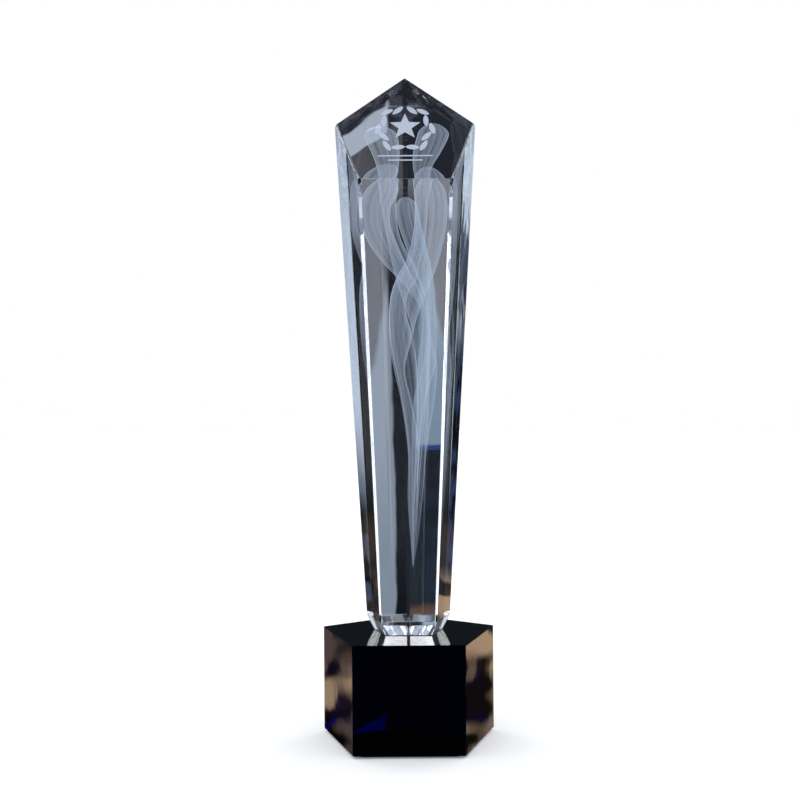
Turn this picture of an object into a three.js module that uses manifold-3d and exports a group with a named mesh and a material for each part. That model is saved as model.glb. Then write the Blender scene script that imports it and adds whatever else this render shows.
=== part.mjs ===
// Crystal award: a tall five-sided column of clear crystal on a five-sided block of cobalt-blue crystal.
//
// The column widens upwards and is ground flat facet by facet: five leaning sides, a slant that rises
// from the front to the back, two bevels behind it, a chamfered foot and narrow bevels down the five
// long edges. It stands on the block on a film of clear adhesive, and the block stands on felt.
//
// Millimetres, +Z up, the front facets face -Y, and the origin is the middle of the felt's underside.

import * as THREE from "three";
import { mergeVertices } from "three/addons/utils/BufferGeometryUtils.js";
import Module from "manifold-3d";

// Block and what is under it.
const FELT_THICKNESS = 1.0;
const FELT_INSET = 3.0; // from the block's sides
const FELT_CORNER_RADIUS = 4.0;
const BLOCK_HEIGHT = 46.4;
const BLOCK_RADIUS = 40.4; // centre to corner

// Adhesive between the block and the column's foot.
const ADHESIVE_THICKNESS = 0.125;

// Column: heights above its foot, and how far each side stands from the axis at the foot,
// at the heel where the foot's chamfer ends, and at the gauge height near the top.
const HEEL_HEIGHT = 6.6;
const GAUGE_HEIGHT = 252.0;
const FRONT_SIDE = { foot: 11.2, heel: 14.7, gauge: 25.5 };
const FLANK_SIDE = { foot: 13.0, heel: 16.25, gauge: 29.25 };
const BACK_SIDE = { foot: 12.7, heel: 15.25, gauge: 27.0 };

// Slant on top.
const SLANT_HEIGHT = 220.4; // where it crosses the axis
const SLANT_ANGLE = 45.7; // degrees from level

// Bevels behind the slant, by where each one meets the edges that it cuts.
const SHOULDER_CUT_DOWN = 5.4; // down the column's long edge from the shoulder
const SHOULDER_CUT_FORWARD = 5.0; // along the slant's edge from the shoulder
const PEAK_CUT_FORWARD = 3.0; // down the middle of the slant from the peak

// Widths of the narrow bevels.
const LONG_EDGE_BEVEL_HEEL = 1.3;
const LONG_EDGE_BEVEL_GAUGE = 2.3;
const SLANT_EDGE_BEVEL = 0.9;
const ARRIS = 0.25; // every other edge, just taken off
const BLOCK_ARRIS = 0.5;

// Grinding starts from a sawn blank, larger than the piece by this much all round.
const BLANK_ALLOWANCE = 20.0;

const SIDES = 5;
const SIDE_STEP = (2 * Math.PI) / SIDES;
const UP = new THREE.Vector3(0, 0, 1);

const wasm = await Module();
wasm.setup();

// A closed geometry as a solid that can be cut.
function toSolid(geometry) {
  const shell = geometry.clone();
  shell.deleteAttribute("normal");
  shell.deleteAttribute("uv");
  const merged = mergeVertices(shell, 1e-4);
  return new wasm.Manifold(
    new wasm.Mesh({
      numProp: 3,
      vertProperties: new Float32Array(merged.attributes.position.array),
      triVerts: new Uint32Array(merged.index.array),
    }),
  );
}

function toGeometry(solid) {
  const mesh = solid.getMesh();
  const geometry = new THREE.BufferGeometry();
  const position = new THREE.BufferAttribute(new Float32Array(mesh.vertProperties), 3);
  geometry.setAttribute("position", position);
  geometry.setIndex(new THREE.BufferAttribute(new Uint32Array(mesh.triVerts), 1));
  const faceted = geometry.toNonIndexed();
  faceted.computeVertexNormals();
  return faceted;
}

// Takes away all of the solid that lies in front of the plane, as a flat lap does.
function grind(solid, plane, reach) {
  const lap = new THREE.BoxGeometry(2 * reach, 2 * reach, reach).translate(0, 0, reach / 2);
  lap.applyQuaternion(new THREE.Quaternion().setFromUnitVectors(UP, plane.normal));
  const foot = plane.normal.clone().multiplyScalar(-plane.constant);
  lap.translate(foot.x, foot.y, foot.z);
  return solid.subtract(toSolid(lap));
}

// The point that three planes share.
function corner(a, b, c) {
  const rows = new THREE.Matrix3().set(
    ...a.normal.toArray(),
    ...b.normal.toArray(),
    ...c.normal.toArray(),
  );
  return new THREE.Vector3(-a.constant, -b.constant, -c.constant).applyMatrix3(rows.invert());
}

function level(height) {
  return new THREE.Plane(UP.clone(), -height);
}

// Level direction that a side faces: side 0 is the front, and the others follow anticlockwise from above.
function facing(side) {
  const turn = side * SIDE_STEP;
  return new THREE.Vector3(Math.sin(turn), -Math.cos(turn), 0);
}

// A side that stands lowOut from the axis at height low, and highOut at height high.
function leaningSide(side, lowOut, low, highOut, high) {
  const out = facing(side);
  const along = new THREE.Vector3().crossVectors(UP, out);
  const a = out.clone().multiplyScalar(lowOut).setZ(low);
  const b = out.clone().multiplyScalar(highOut).setZ(high);
  return new THREE.Plane().setFromCoplanarPoints(a, a.clone().add(along), b);
}

// Even bevel on the edge of two planes: its width at the points near and far along that edge.
function bevel(a, b, near, nearWidth, far, farWidth) {
  const middle = a.normal.clone().add(b.normal).normalize();
  const depthPerWidth = Math.tan(a.normal.angleTo(b.normal) / 2) / 2;
  const p = near.clone().addScaledVector(middle, -nearWidth * depthPerWidth);
  const q = far.clone().addScaledVector(middle, -farWidth * depthPerWidth);
  const across = new THREE.Vector3().crossVectors(q.clone().sub(p), middle);
  const plane = new THREE.Plane().setFromCoplanarPoints(p, q, p.clone().add(across));
  return plane.normal.dot(middle) < 0 ? plane.negate() : plane;
}

// One bevel plane of the given width for each edge that the solid has now.
function arrisPlanes(solid, width) {
  const mesh = solid.getMesh();
  const point = (i) => new THREE.Vector3().fromArray(mesh.vertProperties, i * mesh.numProp);
  const open = new Map();
  const planes = [];
  for (let t = 0; t < mesh.triVerts.length; t += 3) {
    const ids = [...mesh.triVerts.slice(t, t + 3)];
    const face = new THREE.Plane().setFromCoplanarPoints(...ids.map(point));
    ids.forEach((from, i) => {
      const to = ids[(i + 1) % 3];
      const other = open.get(to + "," + from);
      if (!other) open.set(from + "," + to, face);
      else if (other.normal.angleTo(face.normal) > THREE.MathUtils.degToRad(1))
        planes.push(bevel(face, other, point(from), width, point(to), width));
    });
  }
  return planes;
}

function breakEdges(solid, width, reach) {
  return arrisPlanes(solid, width).reduce((kept, plane) => grind(kept, plane, reach), solid);
}

// Regular five-sided outline with a side to the front; its corners are rounded where a radius is given.
function outline(apothem, cornerRadius = 0) {
  const shape = new THREE.Shape();
  const centreOut = (apothem - cornerRadius) / Math.cos(SIDE_STEP / 2);
  for (let i = 0; i < SIDES; i++) {
    const turn = (i + 0.5) * SIDE_STEP - Math.PI / 2;
    const x = centreOut * Math.cos(turn);
    const y = centreOut * Math.sin(turn);
    if (cornerRadius > 0)
      shape.absarc(x, y, cornerRadius, turn - SIDE_STEP / 2, turn + SIDE_STEP / 2, false);
    else if (i === 0) shape.moveTo(x, y);
    else shape.lineTo(x, y);
  }
  shape.closePath();
  return shape;
}

function named(name, geometry, material) {
  const mesh = new THREE.Mesh(geometry, material);
  mesh.name = name;
  return mesh;
}

const blockApothem = BLOCK_RADIUS * Math.cos(SIDE_STEP / 2);
const blockBottom = FELT_THICKNESS;
const blockTop = blockBottom + BLOCK_HEIGHT;
const columnFoot = blockTop + ADHESIVE_THICKNESS;

// Felt pad, die-cut a little smaller than the block.
function makeFelt() {
  const shape = outline(blockApothem - FELT_INSET, FELT_CORNER_RADIUS);
  const pad = { depth: FELT_THICKNESS, bevelEnabled: false, curveSegments: 6 };
  const material = new THREE.MeshStandardMaterial({ color: 0x15161a, roughness: 0.95, metalness: 0 });
  return named("base_felt", new THREE.ExtrudeGeometry(shape, pad), material);
}

// Cobalt-blue block, polished all over, its edges just broken.
function makeBlock() {
  const cut = { depth: BLOCK_HEIGHT, bevelEnabled: false };
  const sawn = toSolid(new THREE.ExtrudeGeometry(outline(blockApothem), cut));
  const polished = breakEdges(sawn, BLOCK_ARRIS, 2 * (BLOCK_HEIGHT + BLOCK_RADIUS));
  const material = new THREE.MeshStandardMaterial({ color: 0x05041f, roughness: 0.03, metalness: 0 });
  const mesh = named("base_block", toGeometry(polished), material);
  mesh.position.z = blockBottom;
  return mesh;
}

// The five sides of the column, and of its foot's chamfer.
function columnSides() {
  const sizes = [FRONT_SIDE, FLANK_SIDE, BACK_SIDE, BACK_SIDE, FLANK_SIDE];
  return {
    long: sizes.map((s, i) => leaningSide(i, s.heel, HEEL_HEIGHT, s.gauge, GAUGE_HEIGHT)),
    chamfer: sizes.map((s, i) => leaningSide(i, s.foot, 0, s.heel, HEEL_HEIGHT)),
  };
}

// Slant that rises to the back, through the axis at its own height.
function slantPlane() {
  const lean = THREE.MathUtils.degToRad(SLANT_ANGLE);
  const normal = new THREE.Vector3(0, -Math.sin(lean), Math.cos(lean));
  return new THREE.Plane().setFromNormalAndCoplanarPoint(normal, new THREE.Vector3(0, 0, SLANT_HEIGHT));
}

// Bevel behind the slant, between it and one back side, through three points on the edges that it cuts.
function backBevel(slant, flank, back, otherBack) {
  const shoulder = corner(slant, flank, back);
  const peak = corner(slant, back, otherBack);
  const heel = corner(level(HEEL_HEIGHT), flank, back);
  const front = corner(slant, flank, new THREE.Plane(new THREE.Vector3(0, 1, 0), 0));
  const slantMiddle = new THREE.Vector3(0, 0, SLANT_HEIGHT);
  const onTheWay = (from, to, length) =>
    from.clone().addScaledVector(to.clone().sub(from).normalize(), length);
  const plane = new THREE.Plane().setFromCoplanarPoints(
    onTheWay(shoulder, heel, SHOULDER_CUT_DOWN),
    onTheWay(shoulder, front, SHOULDER_CUT_FORWARD),
    onTheWay(peak, slantMiddle, PEAK_CUT_FORWARD),
  );
  return plane.normal.z < 0 ? plane.negate() : plane;
}

// Clear column, ground on flat laps from a blank.
function makeColumn() {
  const { long, chamfer } = columnSides();
  const slant = slantPlane();
  const next = (i) => (i + 1) % SIDES;
  const widest = Math.max(FRONT_SIDE.gauge, FLANK_SIDE.gauge, BACK_SIDE.gauge) / Math.cos(SIDE_STEP / 2);
  const peak = corner(slant, long[2], long[3]);
  const height = peak.z + BLANK_ALLOWANCE;
  const reach = 2 * (height + widest);

  const longEdges = long.map((side, i) => {
    const heel = corner(level(HEEL_HEIGHT), side, long[next(i)]);
    const gauge = corner(level(GAUGE_HEIGHT), side, long[next(i)]);
    return bevel(side, long[next(i)], heel, LONG_EDGE_BEVEL_HEEL, gauge, LONG_EDGE_BEVEL_GAUGE);
  });
  const slantEdges = [1, 4].map((flank) => {
    const low = corner(slant, long[0], long[flank]);
    const high = corner(slant, long[flank], long[flank === 1 ? 2 : 3]);
    return bevel(slant, long[flank], low, SLANT_EDGE_BEVEL, high, SLANT_EDGE_BEVEL);
  });
  const backBevels = [
    backBevel(slant, long[1], long[2], long[3]),
    backBevel(slant, long[4], long[3], long[2]),
  ];

  const blankWidth = 2 * (widest + BLANK_ALLOWANCE);
  const blank = new THREE.BoxGeometry(blankWidth, blankWidth, height).translate(0, 0, height / 2);
  const facets = [...long, ...chamfer, slant, ...backBevels, ...longEdges, ...slantEdges];
  const ground = facets.reduce((kept, plane) => grind(kept, plane, reach), toSolid(blank));
  const polished = breakEdges(ground, ARRIS, reach);
  const material = new THREE.MeshStandardMaterial({
    color: 0xdfe8f2,
    roughness: 0.02,
    metalness: 0,
    transparent: true,
    opacity: 0.4,
  });
  const mesh = named("crystal_column", toGeometry(polished), material);
  mesh.position.z = columnFoot;
  return mesh;
}

// Cured clear adhesive, pressed out to the foot's edges.
function makeAdhesive() {
  const { chamfer } = columnSides();
  const shape = new THREE.Shape(
    chamfer.map((side, i) => {
      const p = corner(level(0), side, chamfer[(i + 1) % SIDES]);
      return new THREE.Vector2(p.x, p.y);
    }),
  );
  const film = new THREE.ExtrudeGeometry(shape, { depth: ADHESIVE_THICKNESS, bevelEnabled: false });
  const material = new THREE.MeshStandardMaterial({ color: 0xe8eef2, roughness: 0.1, metalness: 0 });
  const mesh = named("adhesive_film", film, material);
  mesh.position.z = blockTop;
  return mesh;
}

const award = new THREE.Group();
award.add(makeFelt(), makeBlock(), makeAdhesive(), makeColumn());

export default award;
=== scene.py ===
# Crystal award: the look of each piece, put together in the order in which the award is made.
import math

import bmesh
import bpy
from mathutils import Matrix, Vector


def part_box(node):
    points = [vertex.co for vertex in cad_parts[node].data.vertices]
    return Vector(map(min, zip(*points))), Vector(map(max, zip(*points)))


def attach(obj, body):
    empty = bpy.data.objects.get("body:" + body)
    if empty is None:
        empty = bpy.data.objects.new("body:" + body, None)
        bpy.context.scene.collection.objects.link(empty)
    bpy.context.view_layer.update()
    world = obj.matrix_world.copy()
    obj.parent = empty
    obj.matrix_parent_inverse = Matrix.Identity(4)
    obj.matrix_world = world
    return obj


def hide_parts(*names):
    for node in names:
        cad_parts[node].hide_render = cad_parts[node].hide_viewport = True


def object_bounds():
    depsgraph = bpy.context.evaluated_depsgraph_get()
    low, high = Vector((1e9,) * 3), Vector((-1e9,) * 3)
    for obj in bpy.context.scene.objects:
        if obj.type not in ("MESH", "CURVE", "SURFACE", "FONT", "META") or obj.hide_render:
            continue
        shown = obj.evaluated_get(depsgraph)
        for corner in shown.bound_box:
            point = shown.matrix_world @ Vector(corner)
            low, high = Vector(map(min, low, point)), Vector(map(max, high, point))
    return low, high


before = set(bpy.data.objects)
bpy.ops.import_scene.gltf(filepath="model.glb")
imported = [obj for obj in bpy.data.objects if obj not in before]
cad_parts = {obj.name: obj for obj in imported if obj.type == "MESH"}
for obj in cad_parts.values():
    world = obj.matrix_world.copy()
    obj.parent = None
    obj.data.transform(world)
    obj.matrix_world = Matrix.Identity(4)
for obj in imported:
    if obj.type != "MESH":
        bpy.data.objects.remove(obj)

cad_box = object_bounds()
MM = 0.001

# ---------------------------------------------------------------- felt pad
# A thin pad die-cut from black wool felt and glued under the block, so that the award doesn't scratch
# a shelf. Only its edge shows, as a dark line under the block.
FELT_BLACK = "#17181c"
FELT_GREY = "#2b2c31"
FIBRE = 0.35 * MM       # real fibres are 0.03 mm thick, drawn coarser so that they show


def colour(hex_code):
    """An sRGB hex colour as the linear colour that a socket takes."""
    parts = [int(hex_code[i:i + 2], 16) / 255 for i in (1, 3, 5)]
    linear = [c / 12.92 if c <= 0.04045 else ((c + 0.055) / 1.055) ** 2.4 for c in parts]
    return (*linear, 1.0)


def add(tree, kind, settings=None, **inputs):
    """A node with its settings, and with each input set to a value or linked to a socket."""
    node = tree.nodes.new(kind)
    for name, value in (settings or {}).items():
        setattr(node, name, value)
    for key, value in inputs.items():
        name = key.replace("_", " ")
        socket = node.inputs[int(key[1:])] if key[1:].isdigit() else node.inputs[name]
        if isinstance(value, bpy.types.NodeSocket):
            tree.links.new(value, socket)
        else:
            socket.default_value = value
    return node


def new_material(name):
    material = bpy.data.materials.new(name)
    material.use_nodes = True
    tree = material.node_tree
    return material, tree, tree.nodes["Principled BSDF"]


def wear(node_name, material):
    """Gives a CAD node its finish; its facets stay flat."""
    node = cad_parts[node_name]
    node.data.materials.clear()
    node.data.materials.append(material)
    for face in node.data.polygons:
        face.use_smooth = False


# Pressed wool felt, die-cut: matt, with short tangled fibres that catch a little light.
felt, tree, shader = new_material("pressed wool felt")
place = add(tree, "ShaderNodeTexCoord").outputs["Object"]
fibres = add(tree, "ShaderNodeTexNoise", Vector=place, Scale=1 / FIBRE, Detail=4.0, Distortion=1.5)
shade = add(tree, "ShaderNodeMix", {"data_type": "RGBA"}, i0=fibres.outputs["Fac"],
            i6=colour(FELT_BLACK), i7=colour(FELT_GREY))
nap = add(tree, "ShaderNodeBump", Strength=0.6, Distance=0.1 * MM, Height=fibres.outputs["Fac"])
tree.links.new(shade.outputs[2], shader.inputs["Base Color"])
tree.links.new(nap.outputs["Normal"], shader.inputs["Normal"])
shader.inputs["Roughness"].default_value = 0.95
shader.inputs["Sheen Weight"].default_value = 0.3
wear("base_felt", felt)

# ---------------------------------------------------------------- block
# A five-sided block sawn from cobalt-blue optical glass and polished all over. It is so deeply
# coloured that it looks black, and blue only shows where the light's way through it is short.
CRYSTAL_IOR = 1.517
COBALT_PASSES = (0.0, 0.0, 0.86, 1.0)
COBALT_DENSITY = 300.0          # per metre
LAP_WAVE = 9.0 * MM             # how far apart the polishing lap leaves its slight waves
LAP_MARK = 0.8 * MM             # the finer marks of the lap, drawn coarser so that they show

# Cobalt glass, lapped and polished: a black mirror with a deep blue depth, and reflections that
# ripple a little because a felt lap doesn't leave a face quite flat.
cobalt, tree, shader = new_material("polished cobalt crystal")
place = add(tree, "ShaderNodeTexCoord").outputs["Object"]
waves = add(tree, "ShaderNodeTexNoise", Vector=place, Scale=1 / LAP_WAVE, Detail=1.0)
ripple = add(tree, "ShaderNodeBump", Strength=0.015, Distance=0.6 * MM, Height=waves.outputs["Fac"])
marks = add(tree, "ShaderNodeTexNoise", Vector=place, Scale=1 / LAP_MARK, Detail=3.0)
gloss = add(tree, "ShaderNodeMapRange", Value=marks.outputs["Fac"], i3=0.0, i4=0.03)
depth = add(tree, "ShaderNodeVolumeAbsorption", Color=COBALT_PASSES, Density=COBALT_DENSITY)
tree.links.new(gloss.outputs["Result"], shader.inputs["Roughness"])
tree.links.new(ripple.outputs["Normal"], shader.inputs["Normal"])
tree.links.new(depth.outputs["Volume"], tree.nodes["Material Output"].inputs["Volume"])
shader.inputs["IOR"].default_value = CRYSTAL_IOR
shader.inputs["Transmission Weight"].default_value = 1.0
wear("base_block", cobalt)

# ---------------------------------------------------------------- adhesive film
# Clear ultraviolet-cured adhesive between the column and the block. It joins the two optically, so
# from above the joint shows no glass face, only the dark block that it wets.
WETTING = 0.02 * MM             # how far the film bites into the faces that it joins
JOINT_BLUE = "#0a0a2a"
JOINT_BLACK = "#020208"
PRESS_MARK = 2.5 * MM

film_mesh = bpy.data.meshes.new("adhesive_joint")
film = bmesh.new()
film.from_mesh(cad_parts["adhesive_film"].data)
bmesh.ops.remove_doubles(film, verts=film.verts, dist=0.001 * MM)
film_low, film_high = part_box("adhesive_film")
film_middle = (film_low.z + film_high.z) / 2
upper = [v for v in film.verts if v.co.z > film_middle]
lower = [v for v in film.verts if v.co.z < film_middle]
bmesh.ops.translate(film, verts=upper, vec=(0, 0, WETTING))
bmesh.ops.translate(film, verts=lower, vec=(0, 0, -WETTING))
film.to_mesh(film_mesh)
film.free()
joint = bpy.data.objects.new("adhesive_joint", film_mesh)
bpy.context.scene.collection.objects.link(joint)

# Cured acrylate on cobalt glass: dark and wet-looking, a touch lighter where it was pressed thin.
cured, tree, shader = new_material("cured clear adhesive")
place = add(tree, "ShaderNodeTexCoord").outputs["Object"]
press = add(tree, "ShaderNodeTexNoise", Vector=place, Scale=1 / PRESS_MARK, Detail=2.0)
shade = add(tree, "ShaderNodeMix", {"data_type": "RGBA"}, i0=press.outputs["Fac"],
            i6=colour(JOINT_BLACK), i7=colour(JOINT_BLUE))
tree.links.new(shade.outputs[2], shader.inputs["Base Color"])
shader.inputs["Roughness"].default_value = 0.25
shader.inputs["Specular IOR Level"].default_value = 0.1
film_mesh.materials.append(cured)
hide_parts("adhesive_film")
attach(joint, "root")

# ---------------------------------------------------------------- column
# A tall five-sided column of clear optical glass, ground facet by facet on flat laps and polished.
# It is solid: apart from the laser marks, all that shows in it comes from around it.

# Clear optical crystal, lapped and polished: colourless, with a faint uneven gloss from the lap.
crystal, tree, shader = new_material("polished clear crystal")
place = add(tree, "ShaderNodeTexCoord").outputs["Object"]
marks = add(tree, "ShaderNodeTexNoise", Vector=place, Scale=1 / LAP_MARK, Detail=2.0)
gloss = add(tree, "ShaderNodeMapRange", Value=marks.outputs["Fac"], i3=0.0, i4=0.012)
waves = add(tree, "ShaderNodeTexNoise", Vector=place, Scale=1 / LAP_WAVE, Detail=0.0)
ripple = add(tree, "ShaderNodeBump", Strength=0.03, Distance=0.3 * MM, Height=waves.outputs["Fac"])
tree.links.new(gloss.outputs["Result"], shader.inputs["Roughness"])
tree.links.new(ripple.outputs["Normal"], shader.inputs["Normal"])
shader.inputs["IOR"].default_value = CRYSTAL_IOR
shader.inputs["Transmission Weight"].default_value = 1.0
wear("crystal_column", crystal)

# ---------------------------------------------------------------- marks inside the column
# A bundle of five twisted blades, drawn inside the solid glass by a focused laser. Each blade is a
# veil of tiny cracks one layer deep, denser along its edges, and all five start from one point.
VEIL = 0.10 * MM                # depth of a layer of marks
TIP_HEIGHT = 76.5 * MM
SPREAD_HEIGHT = 235.0 * MM      # where the bundle is widest
SPREAD_DEPTH = 10.0 * MM        # how far it then reaches to the front and to the back
TWIST = math.radians(440.0)     # the turn for the whole way from the tip to the spread height
TWIST_START = 0.045             # the share of that way, below the spread height, that doesn't turn
SHEET_TURN = 25.0               # degrees between a blade's two edges

# Each blade: its two edges as drawn from the front, as stations of height, left edge and right edge
# in mm from the tip up; how far ahead of the first blade it turns, in degrees; whether it sets out to
# the front (-1) or to the back (1); how far back it leans at LEAN_RISE above the spread height, and
# how long the rounding of its end is, in mm.
LEAN_RISE = (SPREAD_HEIGHT - TIP_HEIGHT) / 4
BLADES = {
    "blade_left": (
        ((76.5, 2.1, 2.1), (90, 3.6, 4.4), (110, 4.2, 6.8), (130, 4.8, 8.6), (150, 6.2, 12.0),
         (165, 5.0, 13.2), (178, 6.5, 10.6), (188, 6.8, 8.6), (197, 1.6, 6.0), (204, -4.5, 2.6),
         (210, -10.1, -0.4), (218, -15.8, -3.8), (227, -19.2, -6.8), (235, -19.6, -6.6),
         (241, -18.2, -3.4), (248, -15.5, 0.0)), 0, -1, 0, 9),
    "blade_right": (
        ((76.5, 2.1, 2.1), (106, 0.1, 3.0), (128, 0.3, 5.2), (150, -2.6, 1.8), (163, -5.4, -1.0),
         (174, -7.2, 1.4), (188, -7.6, 5.1), (197, -6.6, 8.6), (204, -4.2, 11.6), (212, 0.4, 14.4),
         (224, 3.4, 17.3), (234, 4.0, 18.1), (242, 3.8, 17.0), (248, 4.6, 15.2)), -28, 1, 0, 9),
    "blade_tall_left": (
        ((76.5, 2.1, 2.1), (100, 2.6, 4.0), (128, 3.6, 6.4), (150, 4.6, 8.4), (165, 4.2, 10.0),
         (181, 2.6, 10.2), (194, -1.6, 8.4), (203, -4.4, 5.6), (211, -6.4, 2.0), (222, -8.4, -2.8),
         (235, -10.6, -4.2), (247, -12.4, -3.0), (256, -14.8, -2.6), (266, -18.2, -3.6),
         (272, -18.4, -5.4)), 36, -1, 8, 6),
    "blade_tall_right": (
        ((76.5, 2.1, 2.1), (106, 0.8, 2.4), (128, 0.6, 4.4), (155, -3.0, 5.0), (176, -7.0, 3.0),
         (190, -7.4, -0.4), (198, -6.4, 1.2), (204, -3.4, 4.6), (211, 1.2, 6.2), (220, 3.8, 8.4),
         (235, 4.4, 9.8), (246, 3.4, 11.8), (254, 3.6, 15.4), (265, 5.6, 19.4),
         (272.5, 7.4, 18.6)), 30, 1, 8, 7),
    "blade_middle": (
        ((76.5, 2.1, 2.1), (110, 1.8, 4.2), (130, 2.0, 5.4), (150, 3.0, 8.0), (165, 7.0, 12.4),
         (180, 9.6, 13.0), (190, 9.4, 12.6), (203, 5.6, 11.6), (214, 1.0, 9.4), (226, -3.2, 6.6),
         (238, -5.2, 5.0)), 78, -1, 0, 7),
}


def smooth(stations, height, column):
    """The smooth line through one column of a blade's stations, at that height."""
    last = len(stations) - 1
    k = max(i for i in range(last) if stations[i][0] <= height or i == 0)
    near = [stations[min(max(k + i, 0), last)] for i in (-1, 0, 1, 2)]
    (h0, a0), (h1, a1), (h2, a2), (h3, a3) = [(n[0], n[column]) for n in near]
    slope_low = (a2 - a0) / (h2 - h0)
    slope_high = (a3 - a1) / (h3 - h1)
    step = h2 - h1
    t = (height - h1) / step
    return ((2 * t ** 3 - 3 * t ** 2 + 1) * a1 + (t ** 3 - 2 * t ** 2 + t) * step * slope_low
            + (3 * t ** 2 - 2 * t ** 3) * a2 + (t ** 3 - t ** 2) * step * slope_high)


def make_blade(name, stations, ahead, side, lean, rounding):
    """A blade as a thin curved sheet: rows of points from the tip to its rounded end."""
    sheet = bmesh.new()
    sheet.loops.layers.uv.new("along")
    bmesh.ops.create_grid(sheet, x_segments=16, y_segments=150, size=0.5, calc_uvs=True)
    low, high = stations[0][0], stations[-1][0]
    for point in sheet.verts:
        across = point.co.x + 0.5
        height = low + (high - low) * math.sin((point.co.y + 0.5) * math.pi / 2)
        to_end = min((high - height) / rounding, 1.0)
        across = 0.5 + (across - 0.5) * math.sqrt(max(0.0, 1.0 - (1.0 - to_end) ** 2))
        left = smooth(stations, height, 1)
        right = smooth(stations, height, 2)
        fall = (SPREAD_HEIGHT - height * MM) / (SPREAD_HEIGHT - TIP_HEIGHT)
        turned = math.radians(ahead - SHEET_TURN * across) + TWIST * max(0.0, fall - TWIST_START)
        depth = SPREAD_DEPTH * side * math.sin(turned) * min(1.0, 1.0 - fall)
        behind = lean * MM * max(0.0, height * MM - SPREAD_HEIGHT) / LEAN_RISE
        point.co = ((left + (right - left) * across) * MM, depth + behind, height * MM)
    bmesh.ops.remove_doubles(sheet, verts=sheet.verts, dist=0.002 * MM)
    mesh = bpy.data.meshes.new(name)
    sheet.to_mesh(mesh)
    sheet.free()
    piece = bpy.data.objects.new(name, mesh)
    bpy.context.scene.collection.objects.link(piece)
    layer = piece.modifiers.new("one layer of marks", "SOLIDIFY")
    layer.thickness = VEIL
    layer.offset = 0.0
    return piece


# Laser-marked glass: a pale blue-white veil that can be seen through, streaked lengthways by the
# rows in which it was drawn, with its edges marked twice and so almost white. The little light that
# it gives off stands for the light that its dots scatter.
VEIL_GREY = "#8c98aa"
VEIL_GLOW = "#bccde4"
marked, tree, shader = new_material("laser-marked veil")
place = add(tree, "ShaderNodeUVMap", {"uv_map": "along"}).outputs["UV"]
sides = add(tree, "ShaderNodeSeparateXYZ", Vector=place)
off_middle = add(tree, "ShaderNodeMath", {"operation": "SUBTRACT"}, i0=sides.outputs["X"], i1=0.5)
to_side = add(tree, "ShaderNodeMath", {"operation": "ABSOLUTE"}, i0=off_middle.outputs[0])
line = add(tree, "ShaderNodeMapRange", {"interpolation_type": "SMOOTHSTEP"}, Value=to_side.outputs[0],
           i1=0.478, i2=0.493, i3=0.0, i4=0.45)
shoulder = add(tree, "ShaderNodeMapRange", Value=to_side.outputs[0], i1=0.25, i2=0.5, i3=0.0, i4=0.09)
end_line = add(tree, "ShaderNodeMapRange", {"interpolation_type": "SMOOTHSTEP"}, Value=sides.outputs["Y"],
               i1=0.985, i2=0.995, i3=0.0, i4=0.25)
rows = add(tree, "ShaderNodeMapping", Vector=place, Scale=(9.0, 0.8, 1.0))
streaks = add(tree, "ShaderNodeTexNoise", Vector=rows.outputs[0], Scale=1.0, Detail=3.0)
body = add(tree, "ShaderNodeMapRange", Value=streaks.outputs["Fac"], i1=0.35, i2=0.7, i3=0.04, i4=0.15)
fuller = add(tree, "ShaderNodeMapRange", Value=sides.outputs["Y"], i1=0.2, i2=0.8, i3=0.7, i4=1.7)
veil = add(tree, "ShaderNodeMath", {"operation": "MULTIPLY"}, i0=body.outputs[0], i1=fuller.outputs[0])
edged = add(tree, "ShaderNodeMath", {"operation": "ADD"}, i0=line.outputs[0], i1=veil.outputs[0])
closed = add(tree, "ShaderNodeMath", {"operation": "ADD"}, i0=edged.outputs[0], i1=end_line.outputs[0])
density = add(tree, "ShaderNodeMath", {"operation": "ADD", "use_clamp": True}, i0=closed.outputs[0],
              i1=shoulder.outputs[0])
tree.links.new(density.outputs[0], shader.inputs["Alpha"])
shader.inputs["Base Color"].default_value = colour(VEIL_GREY)
shader.inputs["Roughness"].default_value = 1.0
shader.inputs["Specular IOR Level"].default_value = 0.0
shader.inputs["Emission Color"].default_value = colour(VEIL_GLOW)
shader.inputs["Emission Strength"].default_value = 0.85

for name, drawing in BLADES.items():
    piece = make_blade(name, *drawing)
    piece.data.materials.append(marked)
    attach(piece, "root")

# ---------------------------------------------------------------- emblem under the slant
# A plain star between two sprays of leaves over two thin rules, marked by laser just under the slant.
SLANT_LEAN = math.radians(45.7)
EMBLEM_DEPTH = 0.5 * MM
EMBLEM_STRETCH = 1.45           # along the slant, so that it looks upright from the front
SLANT_HEIGHT = 220.4 * MM       # on the column's axis, above its foot
EMBLEM_CENTRE = SLANT_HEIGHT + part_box("crystal_column")[0].z
to_slant = (Matrix.Translation((0, 0, EMBLEM_CENTRE))
            @ Matrix.Rotation(SLANT_LEAN, 4, "X")
            @ Matrix.Translation((0, 0, -EMBLEM_DEPTH)))


def mark_emblem(name, sheet):
    """Gives a flat drawing the depth of a layer of marks, and lays it just under the slant."""
    faces = sheet.faces[:]
    drawn = bmesh.ops.extrude_face_region(sheet, geom=faces)
    moved = [v for v in drawn["geom"] if isinstance(v, bmesh.types.BMVert)]
    bmesh.ops.translate(sheet, verts=moved, vec=(0, 0, VEIL))
    bmesh.ops.scale(sheet, verts=sheet.verts, vec=(1, EMBLEM_STRETCH, 1))
    bmesh.ops.recalc_face_normals(sheet, faces=sheet.faces)
    bmesh.ops.transform(sheet, matrix=to_slant, verts=sheet.verts)
    mesh = bpy.data.meshes.new(name)
    sheet.to_mesh(mesh)
    sheet.free()
    piece = bpy.data.objects.new(name, mesh)
    bpy.context.scene.collection.objects.link(piece)
    mesh.materials.append(frosted)
    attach(piece, "root")


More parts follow.
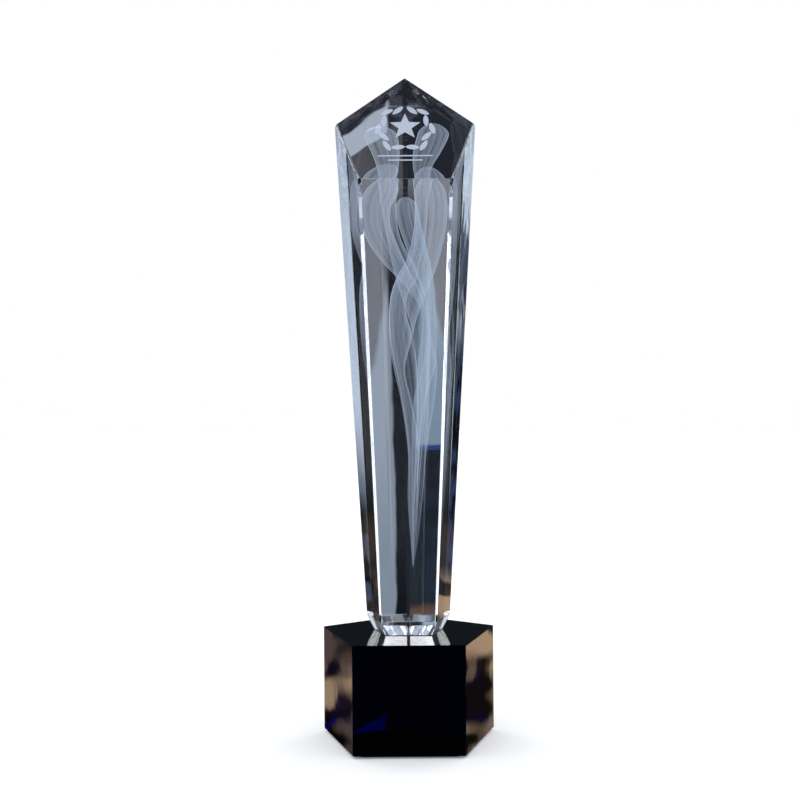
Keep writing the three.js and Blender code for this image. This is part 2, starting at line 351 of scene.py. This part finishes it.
# Laser-frosted glass: dense fine dots, pale grey-lilac and nearly opaque. It gives off a little light
# for the same reason as the blades.
DOT = 0.25 * MM                 # coarser than real dots, so that they show
FROST_GREY = "#a4abb8"
FROST_GLOW = "#c4cee0"
frosted, tree, shader = new_material("laser-frosted mark")
place = add(tree, "ShaderNodeTexCoord").outputs["Object"]
dots = add(tree, "ShaderNodeTexVoronoi", Vector=place, Scale=1 / DOT)
grain = add(tree, "ShaderNodeMapRange", Value=dots.outputs["Distance"], i1=0.2, i2=0.7, i3=0.92, i4=0.66)
tree.links.new(grain.outputs[0], shader.inputs["Alpha"])
shader.inputs["Base Color"].default_value = colour(FROST_GREY)
shader.inputs["Roughness"].default_value = 1.0
shader.inputs["Specular IOR Level"].default_value = 0.0
shader.inputs["Emission Color"].default_value = colour(FROST_GLOW)
shader.inputs["Emission Strength"].default_value = 0.75

STAR_RADIUS = 7.2 * MM
STAR_WAIST = 0.42               # of the radius, between two points of the star
STAR_LIFT = 4.0 * MM            # above the middle of the slant
star = bmesh.new()
bmesh.ops.create_circle(star, cap_ends=True, segments=10, radius=STAR_RADIUS)
for i, point in enumerate(star.verts):
    point.co *= 1.0 if i % 2 == 0 else STAR_WAIST
bmesh.ops.translate(star, verts=star.verts, vec=(0, STAR_LIFT, 0))
mark_emblem("emblem_star", star)

LEAF_LENGTH = 6.2 * MM
LEAF_WIDTH = 2.4 * MM
SPRAY_RADIUS = 11.2 * MM
SPRAY_LIFT = 3.0 * MM
LEAVES = 7                      # on each side, set in turn outside and inside the ring
LEAF_STAGGER = 0.9 * MM
FIRST_LEAF = -72                # degrees from level, at the foot of a spray
LEAF_STEP = 24                  # degrees from one leaf to the next
LEAF_TILTS = (-22, 16)          # degrees off the ring, for the inner and the outer leaves
spray = bmesh.new()
for side in (-1, 1):
    for i in range(LEAVES):
        leaf = bmesh.ops.create_circle(spray, cap_ends=True, segments=16, radius=1.0)["verts"]
        for point in leaf:
            bend = point.co.y * abs(point.co.y) ** 0.5
            point.co = (point.co.x * LEAF_LENGTH / 2, bend * LEAF_WIDTH / 2, 0)
        swing = math.radians(FIRST_LEAF + LEAF_STEP * i)
        lean = swing + math.radians(90 + LEAF_TILTS[i % 2])
        bmesh.ops.rotate(spray, verts=leaf, matrix=Matrix.Rotation(lean, 3, "Z"))
        reach = SPRAY_RADIUS + (LEAF_STAGGER if i % 2 else -LEAF_STAGGER)
        place = (reach * math.cos(swing), SPRAY_LIFT + reach * math.sin(swing), 0)
        bmesh.ops.translate(spray, verts=leaf, vec=place)
        if side < 0:
            bmesh.ops.scale(spray, verts=leaf, vec=(-1, 1, 1))
mark_emblem("emblem_leaves", spray)

RULE_LENGTH = 24.0 * MM
SHORT_RULE_LENGTH = 0.62 * RULE_LENGTH
RULE_WIDTH = 0.6 * MM
RULE_DROP = 11.2 * MM           # below the middle of the slant
RULE_SPACING = 2.2 * MM
rules = bmesh.new()
for drop, length in ((RULE_DROP, RULE_LENGTH), (RULE_DROP + RULE_SPACING, SHORT_RULE_LENGTH)):
    bar = bmesh.ops.create_grid(rules, x_segments=8, y_segments=1, size=0.5)["verts"]
    bmesh.ops.scale(rules, verts=bar, vec=(length, RULE_WIDTH, 1))
    bmesh.ops.translate(rules, verts=bar, vec=(0, -drop, 0))
mark_emblem("emblem_rules", rules)

# ---------------------------------------------------------------- the set
# A pale floor and a white surround for the camera and for matt faces. The crystal sees a made-up studio
# instead: dark behind, two grey walls beyond, softboxes in front, at the sides and high up.
scene = bpy.context.scene
scene.view_settings.view_transform = "Standard"
scene.cycles.max_bounces = 48
scene.cycles.glossy_bounces = 32
scene.cycles.transmission_bounces = 32
scene.cycles.transparent_max_bounces = 64

world = bpy.data.worlds.new("studio")
world.use_nodes = True
scene.world = world
tree = world.node_tree
tree.nodes.clear()
WALL_BOW = 0.13                 # how much the upright edges bow towards the front high up and low down
look = add(tree, "ShaderNodeTexCoord").outputs["Generated"]
axes = add(tree, "ShaderNodeSeparateXYZ", Vector=look)
away = add(tree, "ShaderNodeMath", {"operation": "MULTIPLY"}, i0=axes.outputs["Y"], i1=-1.0)
flat = add(tree, "ShaderNodeMath", {"operation": "ARCTAN2"}, i0=axes.outputs["X"], i1=away.outputs[0])
rise = add(tree, "ShaderNodeMath", {"operation": "ARCSINE"}, i0=axes.outputs["Z"])
squared = add(tree, "ShaderNodeMath", {"operation": "MULTIPLY"}, i0=rise.outputs[0], i1=rise.outputs[0])
bow = add(tree, "ShaderNodeMath", {"operation": "MULTIPLY_ADD"}, i0=squared.outputs[0],
          i1=WALL_BOW, i2=1.0)
turn = add(tree, "ShaderNodeMath", {"operation": "MULTIPLY"}, i0=flat.outputs[0], i1=bow.outputs[0])


def within(value, low, high, soft, wraps=False):
    """1 where the value, in radians, lies from low to high, else 0; limits and softness in degrees."""
    middle, half = math.radians((low + high) / 2), math.radians((high - low) / 2)
    offset = add(tree, "ShaderNodeMath", {"operation": "SUBTRACT"}, i0=value, i1=middle)
    if wraps:
        offset = add(tree, "ShaderNodeMath", {"operation": "WRAP"}, i0=offset.outputs[0],
                     i1=math.pi, i2=-math.pi)
    distance = add(tree, "ShaderNodeMath", {"operation": "ABSOLUTE"}, i0=offset.outputs[0])
    edge = math.radians(soft) / 2
    band = add(tree, "ShaderNodeMapRange", {"interpolation_type": "SMOOTHSTEP"},
               Value=distance.outputs[0], i1=half + edge, i2=half - edge)
    return band.outputs["Result"]


# Each panel: turn from the front, to the right positive, from and to; height above level, from and
# to; softness of the upright edges and of the level ones, all in degrees; the slope at which the
# upright edges lean with height and the level ones with turn; the panel's light. An edge that leans
# is given where it would cross height 0 or turn 0. Places and lights are made up, and set for the
# view from the camera.
PANELS = (
    ("back upper", 150, 210, 11.5, 40, 4, 3, 0, 0, (0.05, 0.06, 0.08)),
    ("back upper right", 131, 150, 11, 24, 2, 2, 0, 0, (0.42, 0.48, 0.60)),
    ("back upper left", -150, -131, 11, 24, 2, 2, 0, 0, (0.42, 0.48, 0.60)),
    ("back middle", 166, 194, -60, 60, 3, 3, 0, 0, (0.02, 0.024, 0.034)),
    ("back left navy", -156, -146, -6.4, 9, 2, 1, 0, 0, (0.016, 0.022, 0.032)),
    ("right wall", 153.7, 158, -6.8, 12, 0.25, 0.5, 0, 0, (0.30, 0.36, 0.45)),
    ("right drape", 156.5, 172, 4.0, 14, 0.5, 1.0, 0.34, 0, (0.13, 0.132, 0.155)),
    ("left wall", -158, -153.9, 0.68, 12, 0.6, 0.4, 0, 0, (0.26, 0.35, 0.46)),
    ("left wall foot", -158, -153.9, 0.56, 0.76, 0.6, 0.1, 0, 0, (0.03, 0.07, 0.28)),
    ("left drape", -174, -157.7, 5.6, 14, 0.5, 1.0, -0.36, 0, (0.15, 0.145, 0.165)),
    ("right ledge", 149.8, 162, -15.2, -8.5, 1, 1, 0, 0, (0.026, 0.026, 0.036)),
    ("right ledge under", 149.8, 162, 24, 30.05, 1, 0.3, 0, 0.294, (0.105, 0.102, 0.108)),
    ("right ledge lit", 153.65, 162, 30.0, 30.83, 0.3, 0.1, 0, 0.294, (0.52, 0.60, 0.73)),
    ("left ledge", -160, -149.8, -24, -8.5, 1, 1, 0, 0, (0.022, 0.025, 0.034)),
    ("table left", -157, -149, -9.5, -6.3, 2, 0.4, 0, 0, (0.14, 0.082, 0.06)),
    ("table left side", -150, -118, -9.5, -7.6, 2, 1.0, 0, 0, (0.14, 0.09, 0.06)),
    ("table right", 118, 149.5, -9.5, -7.8, 3, 1.0, 0, 0, (0.12, 0.075, 0.05)),
    ("cloth left", -149.8, -118, -34, -9.9, 1, 1, 0, 0, (0.16, 0.11, 0.10)),
    ("cloth left lit", -149.8, -118, -14.2, -12.5, 1, 1, 0, 0, (0.62, 0.44, 0.26)),
    ("cloth right", 118, 149.8, -34, -9.9, 1, 1, 0, 0, (0.34, 0.25, 0.16)),
    ("cloth right lit", 118, 149.8, -12.4, -10.4, 1, 1, 0, 0, (0.80, 0.55, 0.34)),
    ("right dim cloth", 48, 100, -30, 10, 8, 12, 0, 0, (0.05, 0.075, 0.13)),
    ("right softbox", 50, 84, 5, 40, 5, 6, 0, 0, (0.95, 1.12, 1.40)),
    ("right softbox bar", 63.5, 65.5, 0, 40, 1, 6, 0.2, 0, (0.05, 0.07, 0.12)),
    ("right softbox edge", 72, 73.2, 0, 40, 1, 6, -0.2, 0, (0.10, 0.15, 0.25)),
    ("left dim cloth", -100, -48, -4, 14, 8, 6, 0, 0, (0.03, 0.05, 0.12)),
    ("left warm", -84, -56, -7, -1, 8, 2, 0, 0, (0.15, 0.11, 0.08)),
    ("left softbox", -84, -50, 11.5, 40, 5, 4, 0, 0, (1.15, 1.35, 1.60)),
    ("left softbox bar", -66, -64, 0, 40, 1, 6, 0.2, 0, (0.05, 0.07, 0.12)),
    ("front softbox left", -44, -15, 9, 58, 5, 4, 0, 0, (1.75, 1.8, 1.85)),
    ("front softbox right", 14, 44, 9, 58, 5, 4, 0, 0, (1.5, 1.55, 1.6)),
    ("front low softbox", -30, 30, -40, -20.5, 4, 2, 0, 0, (1.3, 1.35, 1.45)),
    ("front softbox top", -18, 18, 22, 58, 5, 4, 0, 0, (1.6, 1.65, 1.7)),
    ("high softbox right", 95, 122, 28, 74, 6, 6, 0, 0, (1.9, 2.0, 2.1)),
    ("high softbox left", -122, -95, 28, 74, 6, 6, 0, 0, (1.9, 2.0, 2.1)),
    ("high softbox front right", 44, 76, 44, 76, 6, 6, 0, 0, (1.9, 2.0, 2.1)),
    ("high softbox front left", -76, -44, 44, 76, 6, 6, 0, 0, (1.9, 2.0, 2.1)),
    ("top light right", 124, 149, 23, 40, 4, 4, 0, 0, (4.2, 4.3, 4.5)),
    ("top light left", -149, -124, 23, 40, 4, 4, 0, 0, (4.2, 4.3, 4.5)),
)
FOLD = 0.018                    # width of a fold in the cloths, as an angle in radians
folds = add(tree, "ShaderNodeTexNoise", Vector=look, Scale=1 / FOLD, Detail=0.0, Distortion=0.3)
crease = add(tree, "ShaderNodeMapRange", {"interpolation_type": "SMOOTHSTEP"},
             Value=folds.outputs["Fac"], i1=0.40, i2=0.62, i3=0.05, i4=1.6)
unlit = add(tree, "ShaderNodeCombineXYZ", X=0.008, Y=0.010, Z=0.014)
glow = unlit.outputs[0]
for name, left, right, low, high, soft_turn, soft_rise, lean_turn, lean_rise, light in PANELS:
    leaning = add(tree, "ShaderNodeMath", {"operation": "MULTIPLY_ADD"}, i0=rise.outputs[0],
                  i1=lean_turn, i2=turn.outputs[0])
    sloping = add(tree, "ShaderNodeMath", {"operation": "MULTIPLY_ADD"}, i0=turn.outputs[0],
                  i1=lean_rise, i2=rise.outputs[0])
    across = within(leaning.outputs[0], left, right, soft_turn, wraps=True)
    upright = within(sloping.outputs[0], low, high, soft_rise)
    patch = add(tree, "ShaderNodeMath", {"operation": "MULTIPLY"}, i0=across, i1=upright)
    lit = add(tree, "ShaderNodeCombineXYZ", X=light[0], Y=light[1], Z=light[2]).outputs[0]
    if "cloth" in name:
        lit = add(tree, "ShaderNodeVectorMath", {"operation": "SCALE"}, Vector=lit,
                  Scale=crease.outputs["Result"]).outputs[0]
    glow = add(tree, "ShaderNodeMix", {"data_type": "RGBA", "label": name}, i0=patch.outputs[0],
               i6=glow, i7=lit).outputs[2]
studio = add(tree, "ShaderNodeBackground", Color=glow)
surround = add(tree, "ShaderNodeBackground", Color=(1.0, 1.0, 1.0, 1.0))
ray = add(tree, "ShaderNodeLightPath").outputs
open_view = add(tree, "ShaderNodeMath", {"operation": "MAXIMUM"}, i0=ray["Is Camera Ray"],
                i1=ray["Is Diffuse Ray"])
choice = add(tree, "ShaderNodeMixShader", i0=open_view.outputs[0], i1=studio.outputs[0],
             i2=surround.outputs[0])
add(tree, "ShaderNodeOutputWorld", Surface=choice.outputs[0])

# Pale painted floor, lit evenly out to the white surround; the crystal doesn't see it.
FLOOR_RADIUS = 4.0
FLOOR_GAP = 0.05 * MM           # under the felt, so that the two don't touch
floor_mesh = bpy.data.meshes.new("floor")
disc = bmesh.new()
bmesh.ops.create_circle(disc, cap_ends=True, segments=64, radius=FLOOR_RADIUS)
bmesh.ops.translate(disc, verts=disc.verts, vec=(0, 0, cad_box[0].z - FLOOR_GAP))
disc.to_mesh(floor_mesh)
disc.free()
floor = bpy.data.objects.new("floor", floor_mesh)
scene.collection.objects.link(floor)
paint, tree, shader = new_material("pale matt paint")
shader.inputs["Base Color"].default_value = (0.9, 0.9, 0.9, 1.0)
shader.inputs["Roughness"].default_value = 1.0
shader.inputs["Specular IOR Level"].default_value = 0.0
shader.inputs["Emission Color"].default_value = (1.0, 1.0, 1.0, 1.0)
shader.inputs["Emission Strength"].default_value = 0.1
floor_mesh.materials.append(paint)
floor.visible_glossy = False
floor.visible_transmission = False

# The camera stands a little above the middle of the award, all but straight in front, and looks level.
CAMERA_DISTANCE = 568.7 * MM
CAMERA_HEIGHT = 155.9 * MM
CAMERA_ASIDE = -1.63 * MM
CAMERA_ROLL = math.radians(0.4)
camera_data = bpy.data.cameras.new("camera")
camera_data.lens = 57.69
camera_data.sensor_width = 36.0
camera_data.shift_x = -0.0040
camera_data.shift_y = -0.0172
camera = bpy.data.objects.new("camera", camera_data)
scene.collection.objects.link(camera)
camera.location = (CAMERA_ASIDE, -CAMERA_DISTANCE, CAMERA_HEIGHT)
camera.rotation_euler = (math.radians(90.0), CAMERA_ROLL, 0.0)
scene.camera = camera
